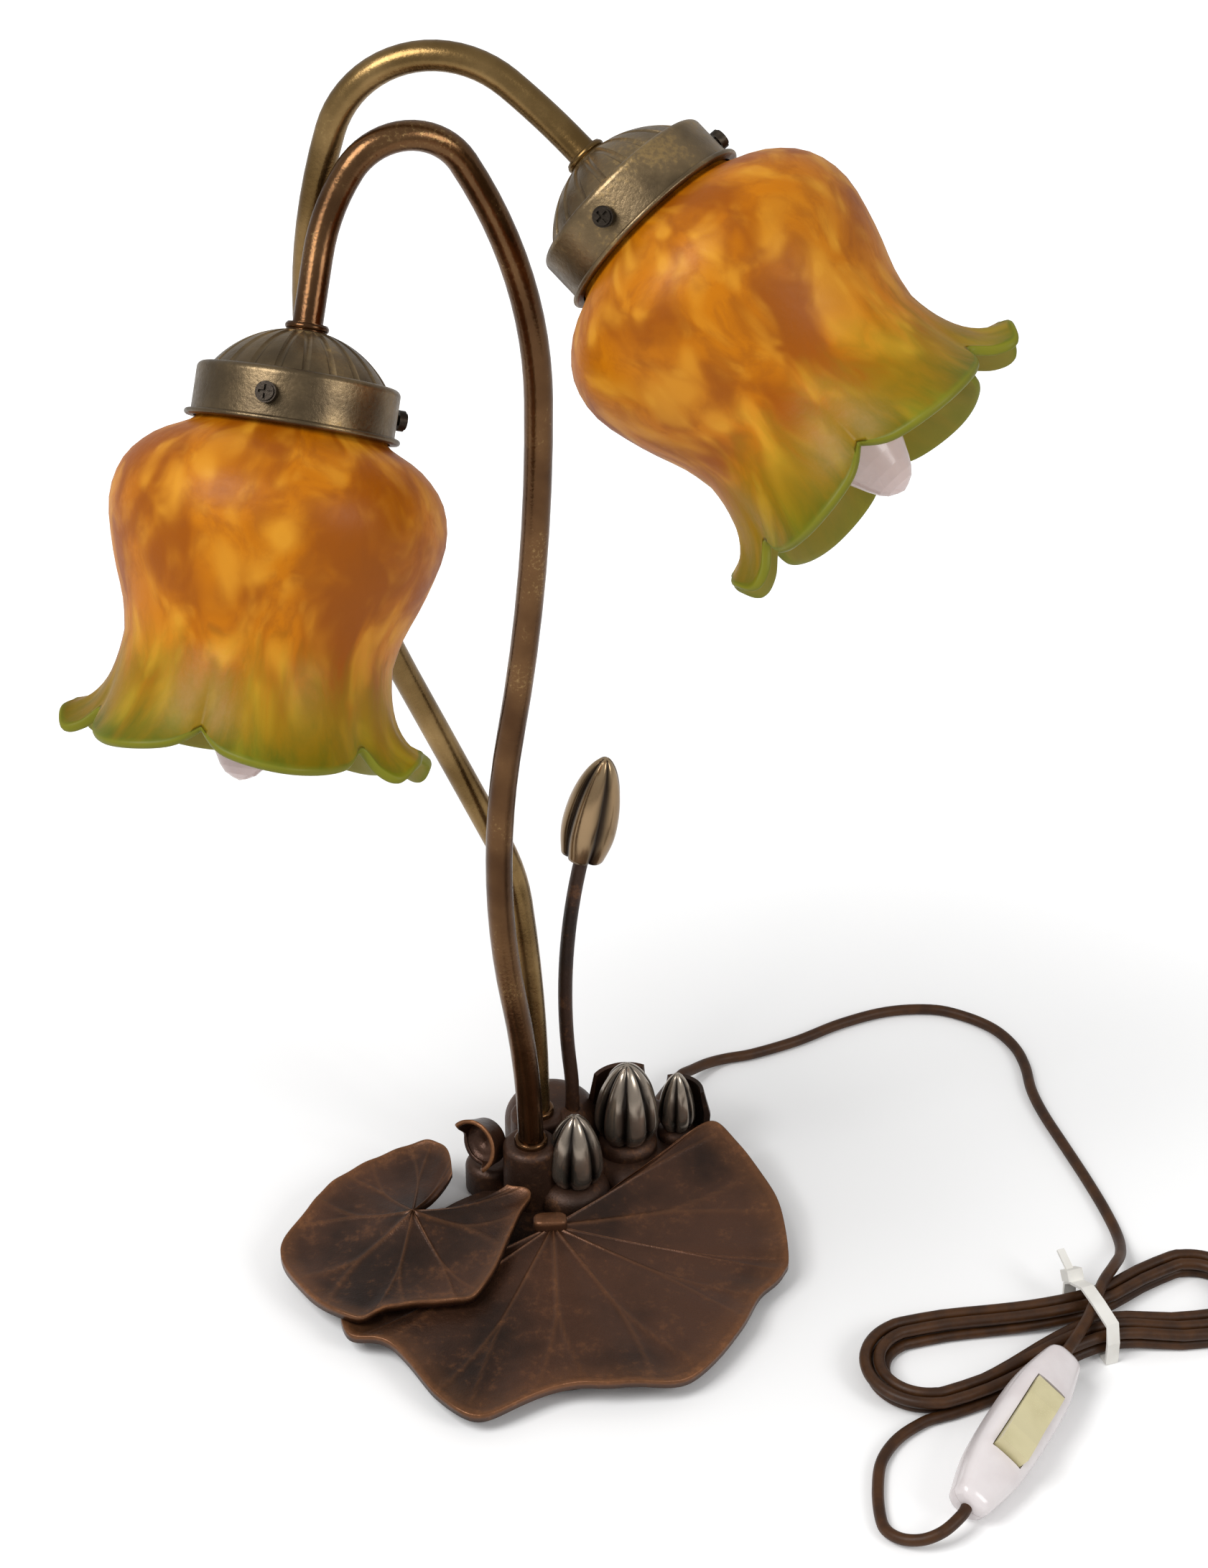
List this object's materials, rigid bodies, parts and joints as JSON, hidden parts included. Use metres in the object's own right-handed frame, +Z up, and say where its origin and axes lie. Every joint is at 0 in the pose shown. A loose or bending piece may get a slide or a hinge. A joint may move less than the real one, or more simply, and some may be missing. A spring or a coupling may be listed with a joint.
{
  "type": "table lamp",
  "caption": "Table lamp with ruffled tulip glass shades on bent brass tubes that rise from a cast lily-pad base with buds, and a mains cord with an inline rocker switch.",
  "frame": {"origin": "middle of the felt foot on the table", "axes": "+Z up, +X to the right as seen from the front, the shades open towards -Y"},
  "size_m": [0.4525, 0.2851, 0.4508],
  "materials": {
    "felt": "woven felt",
    "plate_steel": "zinc plated",
    "cast_bronze": "dark patinated bronze with worn warm edges",
    "bud_bronze": "dark bronze, satin with bright ridges",
    "antique_brass": "antique brass, satin",
    "cap_bronze": "dark bronze with brass showing in the flutes",
    "screw_bronze": "blackened",
    "shade_glass": "satin art glass, orange running to green at the rim",
    "bulb_glass": "frosted opal",
    "bulb_metal": "bright",
    "holder_plastic": "matt thermoset",
    "block_plastic": "matt",
    "flex": "smooth brown sheath",
    "switch_white": "gloss white",
    "rocker_cream": "gloss ivory",
    "tie_white": "coated paper strip"
  },
  "bodies": {
    "lamp": {"felt_pad": "felt", "base_plate": "plate_steel", "plate_screws": "plate_steel", "base_casting": "cast_bronze", "large_leaf": "cast_bronze", "small_leaf": "cast_bronze", "rolled_leaf": "cast_bronze", "front_bud": "bud_bronze", "rear_bud": "bud_bronze", "side_bud": "bud_bronze", "left_arm": "antique_brass", "right_arm": "antique_brass", "foot_rings": "antique_brass", "foot_washers": "plate_steel", "foot_nuts": "plate_steel", "bud_stem": "bud_bronze", "bud_head": "bud_bronze", "stem_nut": "plate_steel", "terminal_block": "block_plastic", "left_lead": "flex", "right_lead": "flex", "left_neck_ring": "antique_brass", "left_cap": "cap_bronze", "left_gallery": "cap_bronze", "left_gallery_screws": "screw_bronze", "left_head_nut": "plate_steel", "left_lampholder": "holder_plastic", "left_bulb_cap": "bulb_metal", "left_bulb": "bulb_glass", "left_shade": "shade_glass", "right_neck_ring": "antique_brass", "right_cap": "cap_bronze", "right_gallery": "cap_bronze", "right_gallery_screws": "screw_bronze", "right_head_nut": "plate_steel", "right_lampholder": "holder_plastic", "right_bulb_cap": "bulb_metal", "right_bulb": "bulb_glass", "right_shade": "shade_glass", "cord_gland": "flex", "inlet_lead": "flex", "lamp_cord": "flex", "switch_lower": "switch_white", "switch_upper": "switch_white", "rocker_pin": "plate_steel", "switch_screws": "plate_steel", "switch_contacts": "bulb_metal", "switch_cord": "flex", "cord_hank": "flex", "hank_tie": "tie_white", "plug_cord": "flex", "plug_body": "flex", "plug_pins": "bulb_metal"},
    "rocker": {"switch_rocker": "rocker_cream"}
  },
  "joints": [
    {"name": "rocker_tilt", "type": "hinge", "parent": "lamp", "child": "rocker", "pos_m": [0.16186, -0.09966, 0.01421], "axis": [0.7346, -0.3853, -0.5584], "range_deg": [0, 10]}
  ]
}
